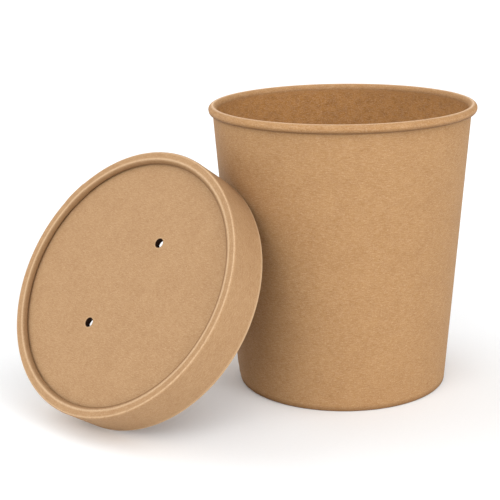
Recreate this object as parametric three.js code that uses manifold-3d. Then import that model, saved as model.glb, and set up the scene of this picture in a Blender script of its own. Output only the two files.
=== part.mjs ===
// A takeaway soup tub of kraft board, open and empty, with its vented lid leaning against it.
// The tub is a tapered wall with a rolled rim and a recessed base held in a turned-in foot.
// The lid is a flat disc with an upturned flange, hemmed into a skirt band that grips the rim.
// Lengths are in millimetres, angles in degrees, +Z is up and +Y points away from the front.
import * as THREE from "three";
import Module from "manifold-3d";
import { mergeVertices } from "three/addons/utils/BufferGeometryUtils.js";

// Board and fits
const BOARD = 0.45;
const FIT_GAP = 0.3;

// Tub
const TUB_HEIGHT = 105.5;
const RIM_RADIUS = 49;
const RIM_WIDTH = 3;
const RIM_DEPTH = 3.28;
const NECK_RADIUS = 46.9;
const FOOT_RADIUS = 39.2;
const BASE_RECESS = 7;
const FOOT_TURN_HEIGHT = 5.6;
const FOOT_BEND = 0.42;
const CURL_START = 190;
const CURL_END = -104;

// Lid
const LID_RADIUS = RIM_RADIUS + 0.05 + BOARD;
const LID_DEPTH = 16.1;
const CREST_BEND = 0.55;
const CREST_HOLLOW = 0.3;
const ROLL_INSET = 2.6;
const ROLL_REACH = 1.5;
const ROLL_BEND = 0.85;
const ROLL_FALL = 0.15;
const ROLL_END = 232;
const DISC_RECESS = 2.3;
const FLANGE_TOP_BELOW_BEAD = 1.1;
const VENT_RADIUS = 1.6;
const VENT_LIP = 0.4;
const VENT_LIP_DEPTH = 2.2;
const VENT_SPACING = 38;
const VENT_LINE_ANGLE = 62;

// Lap seams, where one end of the wrapped board is glued over the other
const LAP_WIDTH = 7;
const LAP_RUN_OUT = 4;
const LAP_STEP = 0.12;
const LAP_PRESSED = 0.3;
const TUB_LAP_ANGLE = 170;
const LID_LAP_ANGLE = 140;

// How the lid leans: its bearing from the tub, the way it faces, and its rise from lying flat
const LID_BEARING = 200.5;
const LID_FACING = -42.7;
const LID_RISE = 56.4;

// Fineness
const ROUND_STEPS = 72;
const VENT_STEPS = 24;
const CORNER_STEPS = 3;
const CURL_STEPS = 12;
const ROLL_STEPS = 5;

const HALF_BOARD = BOARD / 2;
const KRAFT_OUTSIDE = 0xc1976b;
const KRAFT_INSIDE = 0xa37345;
const KRAFT_LID = 0xc8a078;

const radians = THREE.MathUtils.degToRad;

const wasm = await Module();
wasm.setup();

// Points of an elliptical arc in the (radius, height) plane.
function arc(centre, width, height, from, to, steps) {
  const clockwise = to < from;
  const curve = new THREE.EllipseCurve(
    centre.x, centre.y, width, height, radians(from), radians(to), clockwise,
  );
  return curve.getPoints(steps);
}

// A point of a sheet's middle line. lap says how much of the seam's extra ply it carries.
function withLap(points, lap) {
  return points.map((p) => ({ r: p.x, z: p.y, lap }));
}

// The side normal of a polyline at point i, to the right of the way it runs.
function sideNormal(line, i) {
  const before = line[Math.max(i - 1, 0)];
  const after = line[Math.min(i + 1, line.length - 1)];
  const along = new THREE.Vector2(after.r - before.r, after.z - before.z).normalize();
  return new THREE.Vector2(along.y, -along.x);
}

// How far the two faces of the board stand out round a lap seam, in board thicknesses.
// Before the lap both are at rest. The outer ply starts with a sharp step, runs over the
// inner ply, which ends with another step, and then settles back onto the wall.
function lapColumns(radius, angle) {
  const width = THREE.MathUtils.radToDeg(LAP_WIDTH / radius);
  const runOut = THREE.MathUtils.radToDeg(LAP_RUN_OUT / radius);
  const step = THREE.MathUtils.radToDeg(LAP_STEP / radius);
  return [
    { angle: angle - step, outer: 0, inner: 0 },
    { angle, outer: 1, inner: 0 },
    { angle: angle + width, outer: 1, inner: 0 },
    { angle: angle + width + step, outer: 1, inner: 1 },
    { angle: angle + width + runOut / 2, outer: 0.5, inner: 0.5 },
    { angle: angle + width + runOut, outer: 0, inner: 0 },
  ];
}

// A sheet of board wrapped round the Z axis along a middle line, closed by a lap seam.
function wrappedSheet(line, lapRadius, lapAngle) {
  const lap = lapColumns(lapRadius, lapAngle);
  const lapEnd = lap[lap.length - 1].angle;
  const plainSpan = 360 - (lapEnd - lap[0].angle);
  const plainSteps = Math.round((ROUND_STEPS * plainSpan) / 360);
  const columns = [...lap];
  for (let i = 1; i < plainSteps; i += 1) {
    columns.push({ angle: lapEnd + (plainSpan * i) / plainSteps, outer: 0, inner: 0 });
  }

  const normals = line.map((_, i) => sideNormal(line, i));
  const face = (column, side, i) => {
    const lift = BOARD * line[i].lap * (side > 0 ? column.outer : column.inner);
    const out = side * HALF_BOARD + lift;
    const r = line[i].r + normals[i].x * out;
    const z = line[i].z + normals[i].y * out;
    const turn = radians(column.angle);
    return [r * Math.cos(turn), r * Math.sin(turn), z];
  };

  const positions = [];
  for (const column of columns) {
    for (let i = 0; i < line.length; i += 1) positions.push(...face(column, 1, i));
    for (let i = line.length - 1; i >= 0; i -= 1) positions.push(...face(column, -1, i));
  }
  const ring = 2 * line.length;
  const index = [];
  for (let c = 0; c < columns.length; c += 1) {
    const here = c * ring;
    const next = ((c + 1) % columns.length) * ring;
    for (let j = 0; j < ring; j += 1) {
      const k = (j + 1) % ring;
      index.push(here + j, next + j, next + k);
      index.push(here + j, next + k, here + k);
    }
  }
  const geometry = new THREE.BufferGeometry();
  geometry.setAttribute("position", new THREE.Float32BufferAttribute(positions, 3));
  geometry.setIndex(index);
  geometry.computeVertexNormals();
  return geometry;
}

// A dished disc of board: a middle line from the axis outwards, given the board's thickness.
function dishedDisc(line) {
  const normals = line.map((_, i) => sideNormal(line, i));
  const shifted = (side) => line.map((p, i) => new THREE.Vector2(
    i === 0 ? 0 : p.r + side * HALF_BOARD * normals[i].x,
    p.z + side * HALF_BOARD * (i === 0 ? normals[1].y : normals[i].y),
  ));
  const outline = [...shifted(1), ...shifted(-1).reverse()];
  return new THREE.LatheGeometry(outline, ROUND_STEPS).rotateX(Math.PI / 2);
}

// A closed geometry as a manifold solid, and back again.
function solidOf(geometry) {
  const bare = geometry.clone();
  bare.deleteAttribute("normal");
  bare.deleteAttribute("uv");
  const merged = mergeVertices(bare, 1e-3);
  const corners = merged.index.array;
  const kept = [];
  for (let i = 0; i < corners.length; i += 3) {
    const [a, b, c] = corners.slice(i, i + 3);
    if (a !== b && b !== c && c !== a) kept.push(a, b, c);
  }
  return new wasm.Manifold(new wasm.Mesh({
    numProp: 3,
    vertProperties: merged.attributes.position.array,
    triVerts: new Uint32Array(kept),
  }));
}

function geometryOf(solid) {
  const mesh = solid.getMesh();
  const geometry = new THREE.BufferGeometry();
  geometry.setAttribute("position", new THREE.BufferAttribute(mesh.vertProperties, 3));
  geometry.setIndex(new THREE.BufferAttribute(mesh.triVerts, 1));
  geometry.computeVertexNormals();
  return geometry;
}

function kraftMesh(name, geometry, color) {
  const material = new THREE.MeshStandardMaterial({ color, roughness: 0.85, metalness: 0 });
  const mesh = new THREE.Mesh(geometry, material);
  mesh.name = name;
  return mesh;
}

// Outer radius of the tapered wall at a height above the table.
const wallTop = TUB_HEIGHT - RIM_DEPTH - HALF_BOARD;
const taper = (NECK_RADIUS - FOOT_RADIUS) / wallTop;
const wallRadius = (z) => FOOT_RADIUS + taper * z;

// Distances in from the wall's outer face to the base's flange and to the turned-in ply.
const flangeInset = BOARD + FIT_GAP + HALF_BOARD;
const turnedInset = flangeInset + HALF_BOARD + FIT_GAP + HALF_BOARD;

// The wall: turned-in ply, flat foot, tapered side, and the rim curled outwards into an
// open scroll whose cut edge stops just short of the wall.
function tubWall() {
  const bendHeight = HALF_BOARD + FOOT_BEND;
  const turnedBend = new THREE.Vector2(wallRadius(0) - turnedInset + FOOT_BEND, bendHeight);
  const footBend = new THREE.Vector2(wallRadius(0) - HALF_BOARD - FOOT_BEND, bendHeight);
  const curlCentre = new THREE.Vector2(
    RIM_RADIUS - RIM_WIDTH / 2, TUB_HEIGHT - RIM_DEPTH / 2,
  );
  const curlWidth = RIM_WIDTH / 2 - HALF_BOARD;
  const curlHeight = RIM_DEPTH / 2 - HALF_BOARD;
  const turnedEnd = new THREE.Vector2(
    wallRadius(FOOT_TURN_HEIGHT) - turnedInset, FOOT_TURN_HEIGHT,
  );
  const sideFoot = new THREE.Vector2(wallRadius(FOOT_TURN_HEIGHT) - HALF_BOARD, FOOT_TURN_HEIGHT);
  const sideTop = new THREE.Vector2(wallRadius(wallTop) - HALF_BOARD, wallTop);
  const line = [
    ...withLap([turnedEnd], 0),
    ...withLap(arc(turnedBend, FOOT_BEND, FOOT_BEND, 180, 270, CORNER_STEPS), 0),
    ...withLap(arc(footBend, FOOT_BEND, FOOT_BEND, 270, 360, CORNER_STEPS), 0),
    ...withLap([sideFoot, sideTop], 1),
    ...withLap(
      arc(curlCentre, curlWidth, curlHeight, CURL_START, CURL_END, CURL_STEPS), LAP_PRESSED,
    ),
  ];
  return wrappedSheet(line, FOOT_RADIUS, TUB_LAP_ANGLE);
}

// The base: a flat disc with its edge turned down, caught between the wall and the turned ply.
function tubBase() {
  const bend = BOARD;
  const discHeight = BASE_RECESS + HALF_BOARD;
  const flangeRadius = (z) => wallRadius(z) - flangeInset;
  const corner = new THREE.Vector2(flangeRadius(discHeight) - bend, discHeight - bend);
  const flangeEnd = HALF_BOARD + FOOT_BEND + FIT_GAP;
  const line = [
    { r: 0, z: discHeight },
    ...withLap(arc(corner, bend, bend, 90, 0, CORNER_STEPS), 0),
    { r: flangeRadius(flangeEnd), z: flangeEnd },
  ];
  return dishedDisc(line);
}

// The lid's skirt band: straight skirt, a crest at its top edge, a shallow hollow inside the
// crest, and a broad roll that turns down and under, to just above the disc.
function lidBand() {
  const skirtRadius = LID_RADIUS - HALF_BOARD;
  const crestHeight = LID_DEPTH - HALF_BOARD;
  const crest = new THREE.Vector2(skirtRadius - CREST_BEND, crestHeight - CREST_BEND);
  const roll = new THREE.Vector2(
    LID_RADIUS - ROLL_INSET, crestHeight - ROLL_FALL - ROLL_BEND,
  );
  const hollow = new THREE.Vector2((crest.x + roll.x) / 2, crestHeight - CREST_HOLLOW);
  const line = [
    ...withLap([new THREE.Vector2(skirtRadius, 0)], 1),
    ...withLap(arc(crest, CREST_BEND, CREST_BEND, 0, 90, CORNER_STEPS), LAP_PRESSED),
    ...withLap([hollow], LAP_PRESSED),
    ...withLap(arc(roll, ROLL_REACH, ROLL_BEND, 90, ROLL_END, ROLL_STEPS), LAP_PRESSED),
  ];
  return wrappedSheet(line, LID_RADIUS, LID_LAP_ANGLE);
}

// The lid's disc: recessed below the bead, its edge turned up inside the band, with two
// vents punched through it, each with a short lip pushed down into the lid.
function lidDisc() {
  const bend = BOARD;
  const discHeight = LID_DEPTH - DISC_RECESS - HALF_BOARD;
  const flangeRadius = LID_RADIUS - flangeInset;
  const corner = new THREE.Vector2(flangeRadius - bend, discHeight + bend);
  const line = [
    { r: 0, z: discHeight },
    ...withLap(arc(corner, bend, bend, 270, 360, CORNER_STEPS), 0),
    { r: flangeRadius, z: LID_DEPTH - FLANGE_TOP_BELOW_BEAD },
  ];
  let solid = solidOf(dishedDisc(line));
  if (solid.volume() < 0) throw new Error("the disc is inside out");
  const bore = 4 * VENT_LIP_DEPTH;
  for (const side of [-1, 1]) {
    const place = new THREE.Vector3(side * VENT_SPACING / 2, 0, discHeight)
      .applyAxisAngle(new THREE.Vector3(0, 0, 1), radians(VENT_LINE_ANGLE));
    const lip = new THREE.CylinderGeometry(
      VENT_RADIUS + VENT_LIP, VENT_RADIUS + VENT_LIP, VENT_LIP_DEPTH, VENT_STEPS,
    ).rotateX(Math.PI / 2).translate(place.x, place.y, place.z - VENT_LIP_DEPTH / 2);
    const hole = new THREE.CylinderGeometry(VENT_RADIUS, VENT_RADIUS, bore, VENT_STEPS)
      .rotateX(Math.PI / 2).translate(place.x, place.y, place.z);
    solid = solid.add(solidOf(lip)).subtract(solidOf(hole));
  }
  return geometryOf(solid);
}

// How far from the tub's axis the lid's open rim has to stand, along its bearing, for the
// edge of its skirt to come within the fit gap of the tub's wall.
function leaningDistance(lean, rise) {
  const bearing = new THREE.Vector2(
    Math.cos(radians(LID_BEARING)), Math.sin(radians(LID_BEARING)),
  );
  const reach = FIT_GAP * Math.hypot(1, taper);
  let distance = 0;
  for (let i = 0; i < 4 * ROUND_STEPS; i += 1) {
    const turn = (2 * Math.PI * i) / (4 * ROUND_STEPS);
    const edge = new THREE.Vector3(
      LID_RADIUS * Math.cos(turn), LID_RADIUS * Math.sin(turn), 0,
    ).applyEuler(lean);
    const clear = wallRadius(edge.z + rise) + reach;
    const along = edge.x * bearing.x + edge.y * bearing.y;
    const across = edge.x * bearing.y - edge.y * bearing.x;
    const room = clear * clear - across * across;
    if (room > 0) distance = Math.max(distance, Math.sqrt(room) - along);
  }
  return bearing.multiplyScalar(distance);
}

const tub = new THREE.Group();
tub.add(kraftMesh("cup_wall", tubWall(), KRAFT_OUTSIDE));
tub.add(kraftMesh("cup_base", tubBase(), KRAFT_INSIDE));

const lid = new THREE.Group();
lid.add(kraftMesh("lid_band", lidBand(), KRAFT_LID));
lid.add(kraftMesh("lid_disc", lidDisc(), KRAFT_LID));
lid.rotation.set(radians(LID_RISE), 0, radians(LID_FACING), "ZXY");
const lidRise = LID_RADIUS * Math.sin(radians(LID_RISE));
const lidPlace = leaningDistance(lid.rotation, lidRise);
lid.position.set(lidPlace.x, lidPlace.y, lidRise);

// The frame's origin is under the middle of the whole, on the table.
const container = new THREE.Group();
container.add(tub, lid);
const bounds = new THREE.Box3().setFromObject(container, true);
const middle = bounds.getCenter(new THREE.Vector3());
tub.position.set(-middle.x, -middle.y, -bounds.min.z);
lid.position.add(tub.position);

export default container;
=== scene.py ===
# A takeaway soup tub of unbleached kraft board, open and empty, with its vented lid leaning on it.
# The tub stands on the folded foot of its wall. The lid stands on the edge of its skirt and
# leans on the wall, a hair clear of it. Lengths are in metres, angles in degrees, +Z is up.
import math

import bmesh
import bpy
import numpy as np
from mathutils import Matrix, Vector
from mathutils.geometry import delaunay_2d_cdt, interpolate_bezier
from mathutils.noise import noise


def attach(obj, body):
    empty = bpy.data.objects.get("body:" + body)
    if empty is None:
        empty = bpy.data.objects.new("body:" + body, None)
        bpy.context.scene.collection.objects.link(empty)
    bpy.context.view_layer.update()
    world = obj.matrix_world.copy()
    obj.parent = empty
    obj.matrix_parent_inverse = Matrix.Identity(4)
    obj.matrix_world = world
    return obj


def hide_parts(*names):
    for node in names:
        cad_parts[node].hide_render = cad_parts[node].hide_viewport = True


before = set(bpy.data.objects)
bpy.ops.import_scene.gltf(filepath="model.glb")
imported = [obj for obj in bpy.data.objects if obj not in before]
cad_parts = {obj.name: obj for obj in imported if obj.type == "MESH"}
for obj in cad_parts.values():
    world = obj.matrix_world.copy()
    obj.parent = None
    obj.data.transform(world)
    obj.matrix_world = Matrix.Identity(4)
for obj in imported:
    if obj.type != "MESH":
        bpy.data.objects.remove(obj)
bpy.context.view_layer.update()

scene = bpy.context.scene
scene.view_settings.view_transform = "Standard"


# The viewpoint: a long lens a little above the rim, looking down on the tub's mouth, turned
# and rolled by a hair as a hand-levelled tripod is.
MM = 0.001
SENSOR = 36
FOCAL_LENGTH = 90.742
CLIP_START = 0.02
CLIP_END = 60
VIEWPOINT = Vector((-1.274, -445.017, 177.739)) * MM
VIEW_TURN = 0.339
VIEW_DOWN = 15.573
VIEW_ROLL = 1.124


def viewpoint():
    turn, down, roll = (math.radians(a) for a in (VIEW_TURN, VIEW_DOWN, VIEW_ROLL))
    ahead = Vector((
        math.sin(turn) * math.cos(down), math.cos(turn) * math.cos(down), -math.sin(down),
    ))
    level = Vector((math.cos(turn), -math.sin(turn), 0))
    upright = level.cross(ahead)
    right = level * math.cos(roll) - upright * math.sin(roll)
    up = level * math.sin(roll) + upright * math.cos(roll)
    camera = bpy.data.objects.new("camera", bpy.data.cameras.new("camera"))
    camera.data.sensor_width = SENSOR
    camera.data.lens = FOCAL_LENGTH
    camera.data.clip_start = CLIP_START
    camera.data.clip_end = CLIP_END
    facing = Matrix((right, up, -ahead)).transposed().to_4x4()
    camera.matrix_world = Matrix.Translation(VIEWPOINT) @ facing
    scene.collection.objects.link(camera)
    scene.camera = camera


viewpoint()


# The tub's wall: one blank of kraft board, wrapped into a cone and glued with a lap seam at the
# back, its top edge rolled outwards into a rim and its bottom edge folded in and up to grip the
# base. The folded edge is knurled by the tool that presses it.
BOARD = 0.45 * MM
FIT_GAP = 0.3 * MM
TUB_AXIS = Vector((36.105, 13.223, 0)) * MM
TUB_HEIGHT = 105.46 * MM
RIM_RADIUS = 48.95 * MM
RIM_WIDTH = 3 * MM
RIM_DEPTH = 3.28 * MM
NECK_RADIUS = 46.9 * MM
FOOT_RADIUS = 39.2 * MM
FOOT_TURN_HEIGHT = 5.6 * MM
FOOT_BEND = 0.42 * MM
FOOT_BEND_STEPS = 6
CURL_START = 190
CURL_END = -104
CURL_STEPS = 44
WALL_COLUMNS = 432
KNURLS = 86
KNURL_DEPTH = 0.14 * MM
LAP_WIDTH = 7 * MM
LAP_RUN_OUT = 4 * MM
LAP_STEP = 0.12 * MM
LAP_COLUMNS = 94
LAP_PRESSED = 0.3
TUB_LAP_ANGLE = 170
CUT_ROUNDING = 0.13 * MM
WAVINESS = 0.07 * MM
# Painted shade: the stock times this tint is laid in creases, under the curl and the roll, at the
# foot and round the disc's edge
PAINTED_SHADE_TINT = (0.3, 0.21, 0.11)
# Painted shade: near-black laid down the vent bores, where only shade falls
PAINTED_VENT_SHADE = (0.014, 0.0035, 0.0006)

half_board = BOARD / 2
wall_top = TUB_HEIGHT - RIM_DEPTH - half_board
taper = (NECK_RADIUS - FOOT_RADIUS) / wall_top
flange_inset = BOARD + FIT_GAP + half_board
turned_inset = flange_inset + half_board + FIT_GAP + half_board


def wall_radius(height):
    return FOOT_RADIUS + taper * height


def arc(centre, width, height, start, end, steps):
    """Points of an elliptical arc in the (radius, height) plane."""
    turns = np.radians(np.linspace(start, end, steps + 1))
    return [(centre[0] + width * math.cos(t), centre[1] + height * math.sin(t)) for t in turns]


def straight(start, end, steps):
    return [tuple(p) for p in np.linspace(start, end, steps + 1)]


# The marks of a fold, and what a row of a board's section says, in this order
MARKS = ("lap", "rubbed", "knurled", "bare", "pressed")
SECTION_ROW = (
    "radius", "height", "out_across", "out_up", "face", "lap", "rubbed", "knurled", "cut", "along",
    "bare", "pressed",
)


class Fold:
    """One stretch of a board's middle line, with its marks: how far it carries the lap's second
    ply, how much its crown is lightened by wear and a painted highlight, how deeply its face is
    knurled, how much of its lining is missing and how much painted shade darkens it in creases,
    under its rolls and at the foot."""

    def __init__(self, points, **marks):
        self.points = [Vector(p) for p in points]
        for name in MARKS:
            setattr(self, name, list(np.broadcast_to(marks.get(name, 0.0), len(points))))


def joined(folds):
    """The folds as one middle line, without the points that two neighbours share."""
    line = Fold([])
    for fold in folds:
        first = 1 if line.points and (fold.points[0] - line.points[-1]).length < 1e-7 else 0
        for name in ("points", *MARKS):
            getattr(line, name).extend(getattr(fold, name)[first:])
    return line


def board_section(folds, cut_at_start=True):
    """The cut outline of a board that follows a middle line: the face on the right of the way it
    runs, the far cut edge, the other face and the near cut edge. Each row says what SECTION_ROW
    names: its place, the way out of the face, which face it is on (1 to -1), the marks, whether
    it is cut, and how far along the blank it lies."""
    line = joined(folds)
    points = line.points
    last = len(points) - 1
    along = [0.0]
    for before, after in zip(points, points[1:]):
        along.append(along[-1] + (after - before).length)

    def heading(i):
        return (points[min(i + 1, last)] - points[max(i - 1, 0)]).normalized()

    def row(i, side, cut=0.0, reach=0.0):
        way = heading(i)
        out = Vector((way.y, -way.x))
        place = points[i] + way * reach + out * (side * half_board)
        knurled = line.knurled[i] if side == 1 else 0.0
        return (
            *place, *out, side, line.lap[i], line.rubbed[i], knurled, cut, along[i] + reach,
            line.bare[i], line.pressed[i],
        )

    def cut_edge(i, first_side, onward):
        soft = CUT_ROUNDING / half_board
        corner = [math.radians(a) for a in (0, 45, 90)]
        near = [(1 - soft + soft * math.cos(a), CUT_ROUNDING * (math.sin(a) - 1)) for a in corner]
        far = [(-side, reach) for side, reach in reversed(near)]
        return [row(i, first_side * side, 1.0, onward * reach) for side, reach in near + far]

    rows = [row(i, 1) for i in range(1 if cut_at_start else 0, last)]
    rows += cut_edge(last, 1, 1)
    rows += [row(i, -1) for i in range(last - 1, 0 if cut_at_start else -1, -1)]
    if cut_at_start:
        rows += cut_edge(0, -1, -1)
    return np.array(rows)


def wall_folds():
    bend_height = half_board + FOOT_BEND
    turned_bend = (wall_radius(0) - turned_inset + FOOT_BEND, bend_height)
    foot_bend = (wall_radius(0) - half_board - FOOT_BEND, bend_height)
    turned_end = (wall_radius(FOOT_TURN_HEIGHT) - turned_inset, FOOT_TURN_HEIGHT)
    knurled = [0, 0, 0.6, 1, 1, 1, 1, 0.6, 0, 0]
    turned = straight(turned_end, (turned_bend[0] - FOOT_BEND, bend_height), len(knurled) - 1)
    curl_centre = (RIM_RADIUS - RIM_WIDTH / 2, TUB_HEIGHT - RIM_DEPTH / 2)
    curl = arc(
        curl_centre, RIM_WIDTH / 2 - half_board, RIM_DEPTH / 2 - half_board,
        CURL_START, CURL_END, CURL_STEPS,
    )
    # The curl is lightened along its crown by wear and a painted highlight, and darkened by painted
    # shade where it rolls under
    curl_turns = np.linspace(CURL_START, CURL_END, len(curl))
    crown = [0.05 + 0.9 * max(0.0, math.cos(math.radians(a - 90))) ** 18 for a in curl_turns]
    beneath = np.clip((2 - curl_turns) / 55, 0, 1)
    side_foot = (wall_radius(FOOT_TURN_HEIGHT) - half_board, FOOT_TURN_HEIGHT)
    side_top = (wall_radius(wall_top) - half_board, wall_top)
    foot_in = arc(turned_bend, FOOT_BEND, FOOT_BEND, 180, 270, FOOT_BEND_STEPS)
    foot_out = arc(foot_bend, FOOT_BEND, FOOT_BEND, 270, 360, FOOT_BEND_STEPS)
    return [
        Fold(turned, knurled=knurled),
        # Painted shade along the foot's bends, darkest where the foot meets the table
        Fold(foot_in, pressed=0.5),
        Fold(foot_out, pressed=np.linspace(1, 0.7, len(foot_out))),
        Fold(straight(foot_out[-1], side_foot, 3)[1:-1], lap=0.6),
        Fold(straight(side_foot, side_top, 9), lap=1),
        Fold(curl, lap=LAP_PRESSED, rubbed=crown, bare=0.55, pressed=beneath),
    ]


class Wire:
    """A socket of a node tree. Arithmetic on wires adds Math nodes. A sum or a difference may start
    with a number."""

    def __init__(self, tree, socket):
        self.tree = tree
        self.socket = socket

    def __getitem__(self, name):
        """Another output of the same node."""
        return Wire(self.tree, shown(self.socket.node.outputs, name))

    def maths(self, operation, *others):
        return worked_out(self.tree, operation, self, *others)

    def __add__(self, other):
        return self.maths("ADD", other)

    def __radd__(self, other):
        return worked_out(self.tree, "ADD", other, self)

    def __sub__(self, other):
        return self.maths("SUBTRACT", other)

    def __rsub__(self, other):
        return worked_out(self.tree, "SUBTRACT", other, self)

    def __mul__(self, other):
        return self.maths("MULTIPLY", other)

    def __truediv__(self, other):
        return self.maths("DIVIDE", other)

    def __abs__(self):
        return self.maths("ABSOLUTE")


def shown(sockets, key):
    """A socket by its place or its name, among those that the node's settings leave in use."""
    if isinstance(key, int):
        return sockets[key]
    return next(s for s in sockets if s.name == key and s.enabled)


def add_node(tree, kind, settings=None, sockets=None, out=0):
    """A node of that type, with its settings first and then its sockets' values or wires."""
    node = tree.nodes.new(kind)
    for name, value in (settings or {}).items():
        setattr(node, name, value)
    for key, value in (sockets or {}).items():
        socket = shown(node.inputs, key)
        if isinstance(value, Wire):
            tree.links.new(value.socket, socket)
        else:
            socket.default_value = value
    return None if out is None else Wire(tree, shown(node.outputs, out))


def worked_out(tree, operation, *values):
    return add_node(tree, "ShaderNodeMath", {"operation": operation}, dict(enumerate(values)))


WRAP_INPUTS = {
    "Section": "NodeSocketGeometry", "Board": "NodeSocketFloat", "Columns": "NodeSocketInt",
    "Lap Columns": "NodeSocketInt", "Lap Angle": "NodeSocketFloat", "Lap Radius": "NodeSocketFloat",
    "Lap Width": "NodeSocketFloat", "Lap Run Out": "NodeSocketFloat", "Lap Step": "NodeSocketFloat",
    "Knurls": "NodeSocketInt", "Knurl Depth": "NodeSocketFloat", "Waviness": "NodeSocketFloat",
    "Seed": "NodeSocketFloat", "Material": "NodeSocketMaterial",
}


def wrapping_tree():
    """Wraps a board's section round the Z axis and closes it with a lap seam: the outer ply's cut
    edge stands a board's thickness proud, and past the inner ply's edge it settles back."""
    tree = bpy.data.node_groups.new("wrap board with lap seam", "GeometryNodeTree")
    tree.is_modifier = True
    for name, kind in WRAP_INPUTS.items():
        tree.interface.new_socket(name=name, in_out="INPUT", socket_type=kind)
    tree.interface.new_socket(name="Wrapped", in_out="OUTPUT", socket_type="NodeSocketGeometry")
    given = add_node(tree, "NodeGroupInput", out="Section")

    rows = add_node(
        tree, "GeometryNodeAttributeDomainSize", {"component": "MESH"}, {"Geometry": given},
        "Point Count",
    )
    grid = add_node(tree, "GeometryNodeMeshGrid", sockets={
        "Vertices X": given["Columns"] + 1, "Vertices Y": rows + 1,
    }, out="Mesh")
    index = add_node(tree, "GeometryNodeInputIndex")
    loop = rows + 1
    column = ((index + 0.5) / loop).maths("FLOOR")
    # A column's last point is its first one again. The quarter keeps the remainder from slipping.
    place = index - column * loop
    row = add_node(tree, "FunctionNodeFloatToInt", {"rounding_mode": "ROUND"}, {
        0: (place + 0.25).maths("FLOORED_MODULO", rows) - 0.25,
    })

    def sampled(value, kind):
        return add_node(tree, "GeometryNodeSampleIndex", {"data_type": kind}, {
            "Geometry": given, "Value": value, "Index": row,
        })

    def mark(name, kind="FLOAT"):
        return sampled(add_node(
            tree, "GeometryNodeInputNamedAttribute", {"data_type": kind}, {"Name": name},
            "Attribute",
        ), kind)

    section = sampled(add_node(tree, "GeometryNodeInputPosition"), "FLOAT_VECTOR")
    section = add_node(tree, "ShaderNodeSeparateXYZ", sockets={0: section}, out="X")
    out = mark("out", "FLOAT_VECTOR")
    out = add_node(tree, "ShaderNodeSeparateXYZ", sockets={0: out}, out="X")

    lap_length = given["Lap Step"] * 2 + given["Lap Width"] + given["Lap Run Out"]
    lap_span = lap_length / given["Lap Radius"]
    in_lap = column.maths("LESS_THAN", given["Lap Columns"])
    fine = column * lap_span / given["Lap Columns"]
    coarse = lap_span + (column - given["Lap Columns"]) * (
        (2 * math.pi - lap_span) / (given["Columns"] - given["Lap Columns"])
    )
    turn = coarse + (fine - coarse) * in_lap
    angle = turn + given["Lap Angle"]

    def ramp(value, start, end, kind="LINEAR"):
        return add_node(tree, "ShaderNodeMapRange", {"interpolation_type": kind}, {
            "Value": value, "From Min": start, "From Max": end,
        })

    reach = turn * given["Lap Radius"]
    inner_cut = given["Lap Step"] + given["Lap Width"]
    settled = 1 - ramp(reach, inner_cut + given["Lap Step"], lap_length, "SMOOTHSTEP")
    outer_ply = ramp(reach, 0.0, given["Lap Step"]) * settled
    inner_ply = ramp(reach, inner_cut, inner_cut + given["Lap Step"]) * settled
    outer_share = mark("face") * 0.5 + 0.5
    lift = given["Board"] * mark("lap") * (inner_ply + (outer_ply - inner_ply) * outer_share)

    across, deep = angle.maths("COSINE"), angle.maths("SINE")
    height = section["Z"] + out["Z"] * lift
    wave = add_node(tree, "ShaderNodeTexNoise", sockets={
        "Vector": add_node(tree, "ShaderNodeCombineXYZ", sockets={
            "X": across + given["Seed"], "Y": deep, "Z": height * 14,
        }),
        "Scale": 1.6, "Detail": 1.0,
    })
    knurl = (angle * given["Knurls"]).maths("COSINE") * 0.5 - 0.5
    radius = (
        section + out * lift + mark("knurled") * given["Knurl Depth"] * knurl
        + (wave - 0.5) * given["Waviness"]
    )

    def stored(geometry, name, value, kind="FLOAT", domain="POINT"):
        return add_node(
            tree, "GeometryNodeStoreNamedAttribute", {"data_type": kind, "domain": domain},
            {"Geometry": geometry, "Name": name, "Value": value},
        )

    blank = add_node(tree, "ShaderNodeCombineXYZ", sockets={
        "X": turn * given["Lap Radius"], "Y": mark("along"),
        "Z": mark("face") * 0.01 + mark("bare") * 0.02,
    })
    mesh = stored(grid, "blank", blank, "FLOAT_VECTOR")
    for name in ("rubbed", "cut", "pressed"):
        mesh = stored(mesh, name, mark(name))
    mesh = add_node(tree, "GeometryNodeSetPosition", sockets={
        "Geometry": mesh,
        "Position": add_node(tree, "ShaderNodeCombineXYZ", sockets={
            "X": across * radius, "Y": deep * radius, "Z": height,
        }),
    })
    own_blank = add_node(
        tree, "GeometryNodeInputNamedAttribute", {"data_type": "FLOAT_VECTOR"},
        {"Name": "blank"}, "Attribute",
    )
    mesh = stored(mesh, "blank", own_blank, "FLOAT_VECTOR", "CORNER")
    mesh = add_node(tree, "GeometryNodeMergeByDistance", sockets={
        "Geometry": mesh, "Distance": 1e-7,
    })
    mesh = add_node(tree, "GeometryNodeSetShadeSmooth", sockets={"Geometry": mesh})
    mesh = add_node(tree, "GeometryNodeRealizeInstances", sockets={"Geometry": mesh})
    mesh = add_node(tree, "GeometryNodeSetMaterial", sockets={
        "Geometry": mesh, "Material": given["Material"],
    })
    add_node(tree, "NodeGroupOutput", sockets={"Wrapped": mesh}, out=None)
    return tree


def faced_out(mesh):
    """Turns a closed mesh's faces outwards if its volume comes out negative."""
    mesh.calc_loop_triangles()
    corners = np.zeros(len(mesh.loop_triangles) * 3, np.int32)
    mesh.loop_triangles.foreach_get("vertices", corners)
    places = np.zeros(len(mesh.vertices) * 3)
    mesh.vertices.foreach_get("co", places)
    a, b, c = places.reshape(-1, 3)[corners.reshape(-1, 3)].transpose(1, 0, 2)
    if np.einsum("ij,ij->", a, np.cross(b, c)) < 0:
        mesh.flip_normals()


def store(mesh, name, values):
    """Stores one number or one vector for each place of a mesh."""
    kind, label = ("FLOAT_VECTOR", "vector") if values.ndim == 2 else ("FLOAT", "value")
    layer = mesh.attributes.new(name, kind, "POINT")
    layer.data.foreach_set(label, values.astype(np.float32).ravel())


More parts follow.
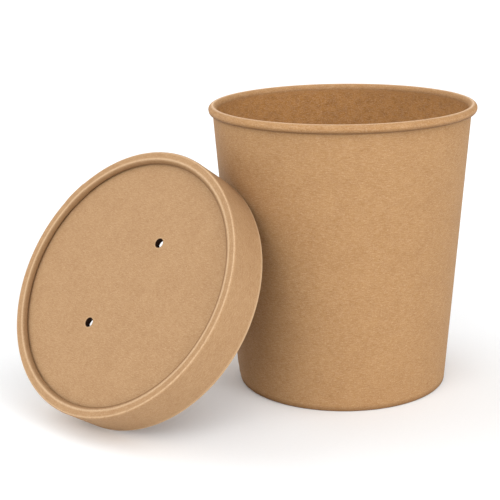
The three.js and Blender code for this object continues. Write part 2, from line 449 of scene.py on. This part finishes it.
def wrapped_piece(name, section, settings, place):
    """The section's mesh, wrapped by the tree and made plain, in its place."""
    mesh = bpy.data.meshes.new(name + "_section")
    mesh.from_pydata([(r, 0, z) for r, z in section[:, :2]], [], [])
    for at, mark in enumerate(SECTION_ROW[4:], 4):
        store(mesh, mark, section[:, at])
    out = np.zeros((len(section), 3))
    out[:, [0, 2]] = section[:, 2:4]
    store(mesh, "out", out)
    piece = bpy.data.objects.new(name, mesh)
    scene.collection.objects.link(piece)
    modifier = piece.modifiers.new("wrap", "NODES")
    modifier.node_group = wrap_tree
    for item in wrap_tree.interface.items_tree:
        if item.in_out == "INPUT" and item.name in settings:
            modifier[item.identifier] = settings[item.name]
    depsgraph = bpy.context.evaluated_depsgraph_get()
    plain = bpy.data.meshes.new_from_object(
        piece.evaluated_get(depsgraph), preserve_all_data_layers=True, depsgraph=depsgraph,
    )
    piece.modifiers.clear()
    piece.data = plain
    plain.name = name
    plain.transform(place)
    faced_out(plain)
    return piece


def cleared_material(name):
    material = bpy.data.materials.new(name)
    material.use_nodes = True
    material.node_tree.nodes.clear()
    return material


def tinted(tree, under, over, share):
    return add_node(tree, "ShaderNodeMix", {"data_type": "RGBA"}, {
        "Factor": share, "A": under, "B": over,
    }, out="Result")


def kraft(name, stock, pale, bark, edge, lined, roughness, gloss, lining, pressed_ring=None):
    """Unbleached board: cloudy, mottled stock with short pale and dark fibres, flecks of bark,
    crowns lightened by wear and a painted highlight, painted shade in creases, under rolls and at
    the foot, near-black painted shade in the vent bores, and a raw, fluffy cut edge. The inner face
    under its clear lining has the lined colour, and lining is how much rougher it is. The last
    argument, if given, is the radius in millimetres from which a round is darkened by painted
    shade, the shadow of the roll that lies on it."""
    material = cleared_material(name)
    tree = material.node_tree

    def attribute(label, out):
        return add_node(tree, "ShaderNodeAttribute", {"attribute_name": label}, out=out)

    def scaled(vector, scale):
        return add_node(tree, "ShaderNodeVectorMath", {"operation": "SCALE"}, {
            0: vector, "Scale": scale,
        })

    def part(vector, name):
        return add_node(tree, "ShaderNodeSeparateXYZ", sockets={0: vector}, out=name)

    blank = attribute("blank", "Vector")
    sheet = scaled(blank, 1 / MM)

    def noise_at(vector, scale, detail, rough=0.5, distortion=0.0):
        return add_node(tree, "ShaderNodeTexNoise", sockets={
            "Vector": vector, "Scale": scale, "Detail": detail, "Roughness": rough,
            "Distortion": distortion,
        })

    def between(value, low, high):
        return add_node(tree, "ShaderNodeMapRange", sockets={
            "Value": value, "From Min": low, "From Max": high,
        })

    clouds = noise_at(sheet, 0.1, 3.0, 0.6)
    mottle = noise_at(sheet, 0.55, 3.0, 0.65)
    grain = noise_at(sheet, 2.1, 3.0, 0.7)

    def fibres(turn, run, thick, lost):
        """Short fibres that lie about one way: where a stretched noise crosses its middle."""
        laid = add_node(tree, "ShaderNodeMapping", sockets={
            "Vector": sheet, "Location": (lost, lost, 0), "Rotation": (0, 0, math.radians(turn)),
            "Scale": (run, thick, 1.0),
        })
        thread = 1 - between(abs(noise_at(laid, 1.0, 1.0, 0.5, 0.8) - 0.5), 0.0, 0.045)
        return thread * between(noise_at(laid, 0.6, 0.0), 0.44, 0.58)

    threads = fibres(8, 0.85, 4.2, 0.0).maths("MAXIMUM", fibres(64, 0.95, 4.6, 17.0))
    threads = threads.maths("MAXIMUM", fibres(-47, 0.9, 4.4, 41.0))
    dark_threads = fibres(97, 1.0, 4.4, 67.0).maths("MAXIMUM", fibres(-18, 0.9, 4.8, 83.0))
    bend = scaled(noise_at(sheet, 2.4, 2.0)["Color"], 0.7)
    ragged = add_node(tree, "ShaderNodeVectorMath", {"operation": "ADD"}, {0: sheet, 1: bend})
    cells = add_node(tree, "ShaderNodeTexVoronoi", sockets={
        "Vector": ragged, "Scale": 0.62,
    }, out="Distance")
    rare = add_node(tree, "ShaderNodeSeparateColor", sockets={0: cells["Color"]}, out="Red")
    size = between(rare, 0.62, 1.0) * 0.16
    flecks = between(size - cells, 0.0, 0.05)

    cut = attribute("cut", "Fac")
    inner = between(part(blank, "Z"), 0.002, -0.002)
    pressed = attribute("pressed", "Fac")
    # On the disc, a ring of painted shade near its edge, the roll's shadow, takes the place of the
    # marks
    if pressed_ring:
        spot = part(sheet, "X")
        radius = (spot * spot + spot["Y"] * spot["Y"]).maths("SQRT")
        pressed = between(radius, pressed_ring, pressed_ring + 0.7)
    # Each layer's colour and its share, laid over what is beneath it
    layers = [
        (lined, inner * 0.7),
        (bark, between(clouds, 0.38, 0.62) * 0.12),
        (bark, between(mottle, 0.42, 0.7) * (0.24 + inner * 0.3)),
        (pale, between(grain, 0.5, 0.78) * (0.28 + inner * 0.2)),
        (pale, threads * 0.3),
        (bark, dark_threads * 0.26),
        (bark, flecks * 0.5),
        # Painted shade in creases, under rolls, at the foot and round the disc's edge
        ([c * k for c, k in zip(stock, PAINTED_SHADE_TINT)], pressed * 0.75),
        # Painted highlight, partly wear, along crowns and crests
        (pale, attribute("rubbed", "Fac") * between(grain, 0.15, 0.55)),
        (edge, cut * 0.8),
        # Near-black painted shade in the vent bores
        (PAINTED_VENT_SHADE, attribute("vent_shade", "Fac")),
    ]
    colour = (*stock, 1)
    for over, share in layers:
        colour = tinted(tree, colour, (*over, 1), share)
    fluff = cut * noise_at(sheet, 6.0, 2.0)
    relief = grain * 0.6 + threads * 0.5 + mottle * 0.6 + fluff * 1.4
    bump = add_node(tree, "ShaderNodeBump", sockets={
        "Strength": 0.55, "Distance": 0.00006, "Height": relief,
    })
    shader = add_node(tree, "ShaderNodeBsdfPrincipled", sockets={
        "Base Color": colour,
        "Roughness": roughness + grain * 0.14 + inner * lining,
        "Normal": bump,
        "Specular IOR Level": gloss,
    })
    add_node(tree, "ShaderNodeOutputMaterial", sockets={"Surface": shader}, out=None)
    return material


tub_kraft = kraft(
    "kraft_tub", stock=(0.346, 0.19, 0.076), pale=(0.68, 0.475, 0.31), bark=(0.2, 0.085, 0.024),
    edge=(0.56, 0.38, 0.22), lined=(0.415, 0.184, 0.039), roughness=0.62, gloss=0.2, lining=0.15,
)
wrap_tree = wrapping_tree()
seam = {
    "Board": BOARD, "Lap Columns": LAP_COLUMNS, "Lap Width": LAP_WIDTH,
    "Lap Run Out": LAP_RUN_OUT, "Lap Step": LAP_STEP,
}
tub_wall = wrapped_piece("tub_wall", board_section(wall_folds()), {
    **seam, "Columns": WALL_COLUMNS + LAP_COLUMNS, "Lap Angle": math.radians(TUB_LAP_ANGLE),
    "Lap Radius": FOOT_RADIUS, "Knurls": KNURLS, "Knurl Depth": KNURL_DEPTH,
    "Waviness": WAVINESS, "Seed": 3.0, "Material": tub_kraft,
}, Matrix.Translation(TUB_AXIS))
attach(tub_wall, "root")
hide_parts("cup_wall")


# The tub's base: a round of board with its edge turned down into a flange, set up inside the
# foot and glued between the wall and the folded edge. Its upper face has a clear lining.
BASE_RECESS = 7 * MM
BASE_COLUMNS = 240
FLANGE_BEND_STEPS = 7
FLAT_RINGS = 6
HOLE_CLEARANCE = 1.6


def circle(radius, count, centre=(0.0, 0.0)):
    turns = np.arange(count) * 2 * math.pi / count
    return [
        Vector((centre[0] + radius * math.cos(t), centre[1] + radius * math.sin(t))) for t in turns
    ]


def flat_face(radius, columns, height, holes, upward):
    """A flat round face as places and triangles: rings of points, with round holes left open.
    Each hole is a list of places. The rim's places come first, then each hole's."""
    flat = circle(radius, columns)
    loops = [list(range(columns))]
    for hole in holes:
        loops.append(list(range(len(flat), len(flat) + len(hole))))
        flat += hole
    edges = [(a, b) for loop in loops for a, b in zip(loop, loop[1:] + loop[:1])]
    middles = [sum(hole, Vector((0, 0))) / len(hole) for hole in holes]
    kept_clear = [(m, HOLE_CLEARANCE * (hole[0] - m).length) for m, hole in zip(middles, holes)]
    for ring in range(FLAT_RINGS):
        ring_radius = radius * ring / FLAT_RINGS
        count = max(1, round(columns * ring / FLAT_RINGS / 2))
        for i in range(count):
            turn = 2 * math.pi * (i + 0.5 * (ring % 2)) / count
            point = Vector((ring_radius * math.cos(turn), ring_radius * math.sin(turn)))
            if all((point - m).length > clear for m, clear in kept_clear):
                flat.append(point)
    places, _, faces, *_ = delaunay_2d_cdt(flat, edges, [], 0, 1e-9)
    if len(places) != len(flat):
        raise RuntimeError("the flat face gained or lost points")
    inside = [set(loop) for loop in loops[1:]]
    kept = [face for face in faces if not any(loop.issuperset(face) for loop in inside)]
    kept = [tuple(face) if upward else tuple(reversed(face)) for face in kept]
    return [(p.x, p.y, height) for p in places], kept


class Sheet:
    """A mesh in the making: places, faces, and for each place its marks: which face it is on (1
    to -1), how far it is lightened by wear and a painted highlight, how far it is cut, and how much
    near-black painted shade it has in a vent's bore."""

    def __init__(self):
        self.places = []
        self.faces = []
        self.marks = []

    def add(self, places, faces, marks):
        start = len(self.places)
        self.places += [tuple(p) for p in places]
        self.marks += marks
        self.faces += [tuple(start + i for i in face) for face in faces]

    def ring_rows(self, rows, columns, centre=(0.0, 0.0), ragged=None):
        """Rows of (radius, height, marks) turned round an upright line through centre. ragged
        says how far a place strays outwards and upwards at a row and an angle."""
        places, marks = [], []
        for at, (radius, height, mark) in enumerate(rows):
            for i in range(columns):
                turn = 2 * math.pi * i / columns
                grow, rise = ragged(at, turn) if ragged else (0.0, 0.0)
                x = centre[0] + (radius + grow) * math.cos(turn)
                y = centre[1] + (radius + grow) * math.sin(turn)
                places.append((x, y, height + rise))
                marks.append(mark)
        faces = []
        for at in range(len(rows) - 1):
            for i in range(columns):
                j = (i + 1) % columns
                here, there = at * columns, (at + 1) * columns
                faces.append((here + i, here + j, there + j, there + i))
        self.add(places, faces, marks)

    def piece(self, name, material, place):
        """The sheet as one closed piece, its doubled places merged."""
        mesh = bpy.data.meshes.new(name)
        mesh.from_pydata(self.places, [], self.faces)
        marks = np.array(self.marks, np.float32)
        blank = np.array(self.places, np.float32)
        blank[:, 2] = marks[:, 0] * 0.01
        store(mesh, "blank", blank)
        for at, label in enumerate(("rubbed", "cut", "vent_shade"), 1):
            store(mesh, label, marks[:, at])
        mesh.materials.append(material)
        shape = bmesh.new()
        shape.from_mesh(mesh)
        bmesh.ops.remove_doubles(shape, verts=shape.verts, dist=1e-6)
        shape.to_mesh(mesh)
        shape.free()
        mesh.shade_smooth()
        faced_out(mesh)
        mesh.transform(place)
        made = bpy.data.objects.new(name, mesh)
        scene.collection.objects.link(made)
        return made


def dished_sheet(folds, columns, inner_face, vents=()):
    """A flat round with a turned edge. folds start where the flat ends, and the flat faces close
    both sides. inner_face is the face that meets the food: 1 for the one on the right of the
    folds, -1 for the other."""
    section = board_section(folds, cut_at_start=False)
    sheet = Sheet()
    rows = [
        (radius, height, (-inner_face * face, rubbed, cut, 0.0))
        for radius, height, _, _, face, _, rubbed, _, cut, *_ in section
    ]
    sheet.ring_rows(rows, columns)
    for end in (0, -1):
        radius, height, mark = rows[end]
        upward = height == max(rows[0][1], rows[-1][1])
        places, faces = flat_face(radius, columns, height, vents, upward)
        sheet.add(places, faces, [(mark[0], 0.0, 0.0, 0.0)] * len(places))
    return sheet


def base_folds():
    disc_height = BASE_RECESS + half_board
    corner = (wall_radius(disc_height) - flange_inset - BOARD, disc_height - BOARD)
    flange_end = half_board + FOOT_BEND + FIT_GAP
    bend = arc(corner, BOARD, BOARD, 90, 0, FLANGE_BEND_STEPS)
    return [
        Fold([(corner[0] - BOARD, disc_height)] + bend, rubbed=0.2),
        Fold(straight(bend[-1], (wall_radius(flange_end) - flange_inset, flange_end), 4)),
    ]


base_kraft = kraft(
    "kraft_inside", stock=(0.38, 0.212, 0.096), pale=(0.62, 0.42, 0.255), bark=(0.21, 0.095, 0.03),
    edge=(0.54, 0.36, 0.21), lined=(0.42, 0.2, 0.055), roughness=0.7, gloss=0.24, lining=0.1,
)
tub_base = dished_sheet(base_folds(), BASE_COLUMNS, -1).piece(
    "tub_base", base_kraft, Matrix.Translation(TUB_AXIS),
)
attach(tub_base, "root")
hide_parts("cup_base")


# The lid's skirt band: a strip of board wrapped into a ring with a lap seam. Its top edge is
# folded in over the disc's flange: a crest, a shallow hollow, and a roll turned down and under.
LID_RADIUS = 49.45 * MM
LID_DEPTH = 16.08 * MM
CREST_BEND = 0.55 * MM
CREST_END = 104
CREST_STEPS = 12
ROLL_INSET = 2.6 * MM
ROLL_REACH = 1.5 * MM
ROLL_BEND = 0.85 * MM
ROLL_FALL = 0.15 * MM
ROLL_START = 82
ROLL_END = 232
ROLL_STEPS = 25
HOLLOW_POINTS = 10
DISC_RECESS = 2.3 * MM
LID_LAP_ANGLE = 140
BAND_COLUMNS = 320
LID_PLACE = Matrix((
    (0.7349, 0.3753, -0.5649, -35.465 * MM),
    (-0.6782, 0.4067, -0.6121, -13.536 * MM),
    (0.0, 0.8329, 0.5534, 41.229 * MM),
    (0, 0, 0, 1),
))


def band_folds():
    skirt_radius = LID_RADIUS - half_board
    crest_height = LID_DEPTH - half_board
    crest_middle = (skirt_radius - CREST_BEND, crest_height - CREST_BEND)
    roll_middle = (LID_RADIUS - ROLL_INSET, crest_height - ROLL_FALL - ROLL_BEND)
    crest = arc(crest_middle, CREST_BEND, CREST_BEND, 0, CREST_END, CREST_STEPS)
    roll = arc(roll_middle, ROLL_REACH, ROLL_BEND, ROLL_START, ROLL_END, ROLL_STEPS)
    start, end = Vector(crest[-1]), Vector(roll[0])
    reach = (end - start).length / 3
    leaving = start + (start - Vector(crest[-2])).normalized() * reach
    meeting = end - (Vector(roll[1]) - end).normalized() * reach
    hollow = interpolate_bezier(start, leaving, meeting, end, HOLLOW_POINTS)[1:-1]
    # The crest and the roll's top are lightened by wear and a painted highlight, and the roll gets
    # painted shade where it tucks in
    crest_highlight = [0.55 * math.exp(-((i - 7.5) / 2.2) ** 2) for i in range(len(crest))]
    roll_turns = np.linspace(ROLL_START, ROLL_END, len(roll))
    roll_highlight = 0.6 * np.exp(-((roll_turns - 98) / 13) ** 2)
    tuck_shade = np.interp(roll_turns, [90, 112, 140, 165, ROLL_END], [0, 0.3, 0.75, 0.8, 0.5])
    return [
        Fold(straight((skirt_radius, 0), crest[0], 12), lap=1),
        Fold(crest, lap=LAP_PRESSED, rubbed=crest_highlight),
        Fold(hollow, lap=LAP_PRESSED),
        Fold(roll, lap=LAP_PRESSED, rubbed=roll_highlight, pressed=tuck_shade),
    ]


LID_BOARD = {
    "stock": (0.365, 0.2165, 0.105), "pale": (0.64, 0.45, 0.285), "bark": (0.22, 0.1, 0.036),
    "edge": (0.56, 0.39, 0.23), "lined": (0.4, 0.205, 0.07), "roughness": 0.68, "gloss": 0.16,
    "lining": 0.1,
}
lid_kraft = kraft("kraft_lid", **LID_BOARD)
lid_band = wrapped_piece("lid_band_piece", board_section(band_folds()), {
    **seam, "Columns": BAND_COLUMNS + LAP_COLUMNS, "Lap Angle": math.radians(LID_LAP_ANGLE),
    "Lap Radius": LID_RADIUS, "Knurls": 0, "Knurl Depth": 0.0, "Waviness": 0.0, "Seed": 8.0,
    "Material": lid_kraft,
}, LID_PLACE)
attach(lid_band, "root")
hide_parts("lid_band")


# The lid's disc: a round of board set below the crest, its edge turned up inside the band. Two
# vents are punched through it from above, each pushing a short ragged lip into the lid.
FLANGE_TOP_BELOW_CREST = 1.1 * MM
VENT_RADIUS = 1.6 * MM
VENT_LIP = 0.4 * MM
VENT_LIP_DEPTH = 2.2 * MM
VENT_ROUNDING = 0.28 * MM
VENT_REACH = 3.4 * MM
VENT_SPACING = 38 * MM
VENT_LINE_ANGLE = 62
VENT_COLUMNS = 72
# How much of the tear each of a vent's rows takes, by its number in vent_rows
TORN_SHARES = {8: 0.3, 9: 0.7, 10: 1.0, 11: 1.0, 12: 0.5}
TORN_OUTWARDS = 0.05 * MM
TORN_UPWARDS = 0.22 * MM
DISC_COLUMNS = 300

roll_edge = (LID_RADIUS - ROLL_INSET - ROLL_REACH - half_board) / MM
# The disc's ring of painted shade starts just inside the roll's edge
disc_kraft = kraft("kraft_lid_disc", **LID_BOARD, pressed_ring=roll_edge + 0.2)


def disc_folds():
    disc_height = LID_DEPTH - DISC_RECESS - half_board
    flange_radius = LID_RADIUS - flange_inset
    corner = (flange_radius - BOARD, disc_height + BOARD)
    bend = arc(corner, BOARD, BOARD, 270, 360, FLANGE_BEND_STEPS)
    return [
        Fold([(bend[0][0] - BOARD, disc_height)] + bend),
        Fold(straight(bend[-1], (flange_radius, LID_DEPTH - FLANGE_TOP_BELOW_CREST), 2)),
    ]


def vent_rows():
    """From the disc's upper face, over the drawn-in edge, down the bore, round the lip's torn
    end and back out along the disc's lower face."""
    top = LID_DEPTH - DISC_RECESS
    bottom = top - BOARD
    lip_end = top - half_board - VENT_LIP_DEPTH
    lip_radius = VENT_RADIUS + VENT_LIP
    corner = (VENT_RADIUS + VENT_ROUNDING, top - VENT_ROUNDING)
    rolled = arc(corner, VENT_ROUNDING, VENT_ROUNDING, 90, 180, 6)
    # Each row's last mark is painted shade, near-black down the bore and round the lip
    rows = [(VENT_REACH, top, (1, 0, 0, 0)), (lip_radius + 0.5 * MM, top, (1, 0, 0, 0))]
    rows += [(r, z, (1, 0, 0.3, min(1, i / 3))) for i, (r, z) in enumerate(rolled)]
    rows += [(VENT_RADIUS, z, (0.5, 0, 0.5, 1)) for z in (bottom - 0.1 * MM, lip_end + 0.25 * MM)]
    rows += [(VENT_RADIUS + 0.06 * MM, lip_end + 0.04 * MM, (0, 0, 1, 1))]
    rows += [(lip_radius - 0.12 * MM, lip_end, (-0.2, 0, 1, 0.8))]
    rows += [(lip_radius, lip_end + 0.15 * MM, (-0.5, 0, 0.6, 0.6))]
    rows += [(lip_radius, bottom - 0.15 * MM, (-1, 0, 0.2, 0.3))]
    rows += [(lip_radius + 0.15 * MM, bottom, (-1, 0, 0, 0.2)), (VENT_REACH, bottom, (-1, 0, 0, 0))]
    return rows


def torn(at, turn):
    """How far a vent's wall strays outwards and upwards at a row and an angle: most at the lip's
    end, not at all where it meets the disc's faces."""
    share = TORN_SHARES.get(at, 0.0)
    rough = noise(Vector((2.2 * math.cos(turn), 2.2 * math.sin(turn), 0.4 * at)))
    finer = noise(Vector((6 * math.cos(turn), 6 * math.sin(turn), 3 + 0.6 * at)))
    upwards = TORN_UPWARDS * max(0.0, 0.6 * rough + 0.5 * finer)
    return share * TORN_OUTWARDS * rough, share * upwards


def vented_disc():
    turn = math.radians(VENT_LINE_ANGLE)
    reach = VENT_SPACING / 2
    centres = [(s * reach * math.cos(turn), s * reach * math.sin(turn)) for s in (-1, 1)]
    holes = [circle(VENT_REACH, VENT_COLUMNS, centre) for centre in centres]
    sheet = dished_sheet(disc_folds(), DISC_COLUMNS, 1, holes)
    for centre in centres:
        sheet.ring_rows(vent_rows(), VENT_COLUMNS, centre, torn)
    return sheet


lid_disc = vented_disc().piece("lid_disc_piece", disc_kraft, LID_PLACE)
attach(lid_disc, "root")
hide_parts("lid_disc")


# The table: a wide sheet of white paper in a pale studio, lit by soft panels from all round. The
# stronger ones stand at the right, at the front and at the left behind.
FLOOR_SIZE = 30
PAPER = ((0.875, 0.888, 0.9, 1), (0.9, 0.914, 0.926, 1))
SKY_STRENGTH = 0.48


def floor_paper():
    material = cleared_material("white_paper")
    tree = material.node_tree
    place = add_node(tree, "ShaderNodeTexCoord", out="Object")
    tooth = add_node(tree, "ShaderNodeTexNoise", sockets={
        "Vector": place, "Scale": 900.0, "Detail": 2.0,
    })
    colour = tinted(tree, *PAPER, tooth)
    shader = add_node(tree, "ShaderNodeBsdfPrincipled", sockets={
        "Base Color": colour, "Roughness": 0.9, "Specular IOR Level": 0.2,
    })
    add_node(tree, "ShaderNodeOutputMaterial", sockets={"Surface": shader}, out=None)
    return material


floor_mesh = bpy.data.meshes.new("floor")
half = FLOOR_SIZE / 2
floor_mesh.from_pydata(
    [(-half, -half, 0), (half, -half, 0), (half, half, 0), (-half, half, 0)], [], [(0, 1, 2, 3)],
)
floor_mesh.materials.append(floor_paper())
floor = bpy.data.objects.new("floor", floor_mesh)
scene.collection.objects.link(floor)


def soft_light(name, azimuth, elevation, strength, softness):
    """A distant light from an azimuth (0 is the front, 90 the right) and an elevation."""
    light = bpy.data.lights.new(name, "SUN")
    light.energy = strength
    light.angle = math.radians(softness)
    a, e = math.radians(azimuth), math.radians(elevation)
    source = Vector((math.sin(a) * math.cos(e), -math.cos(a) * math.cos(e), math.sin(e)))
    lamp = bpy.data.objects.new(name, light)
    lamp.rotation_euler = source.to_track_quat("Z", "Y").to_euler()
    scene.collection.objects.link(lamp)


soft_light("right_panel", azimuth=46, elevation=9, strength=1.6, softness=30)
soft_light("high_right_panel", azimuth=70, elevation=50, strength=0.5, softness=50)
soft_light("upper_panel", azimuth=30, elevation=50, strength=0.7, softness=50)
soft_light("front_panel", azimuth=-30, elevation=27, strength=1.32, softness=50)
soft_light("left_panel", azimuth=-75, elevation=22, strength=0.58, softness=50)
soft_light("back_left_panel", azimuth=-120, elevation=43, strength=0.92, softness=50)
soft_light("back_panel", azimuth=180, elevation=50, strength=0.12, softness=50)

world = bpy.data.worlds.new("studio")
scene.world = world
world.use_nodes = True
world.node_tree.nodes.clear()
sky = add_node(world.node_tree, "ShaderNodeBackground", sockets={
    "Color": (1, 1, 1, 1), "Strength": SKY_STRENGTH,
})
add_node(world.node_tree, "ShaderNodeOutputWorld", sockets={"Surface": sky}, out=None)
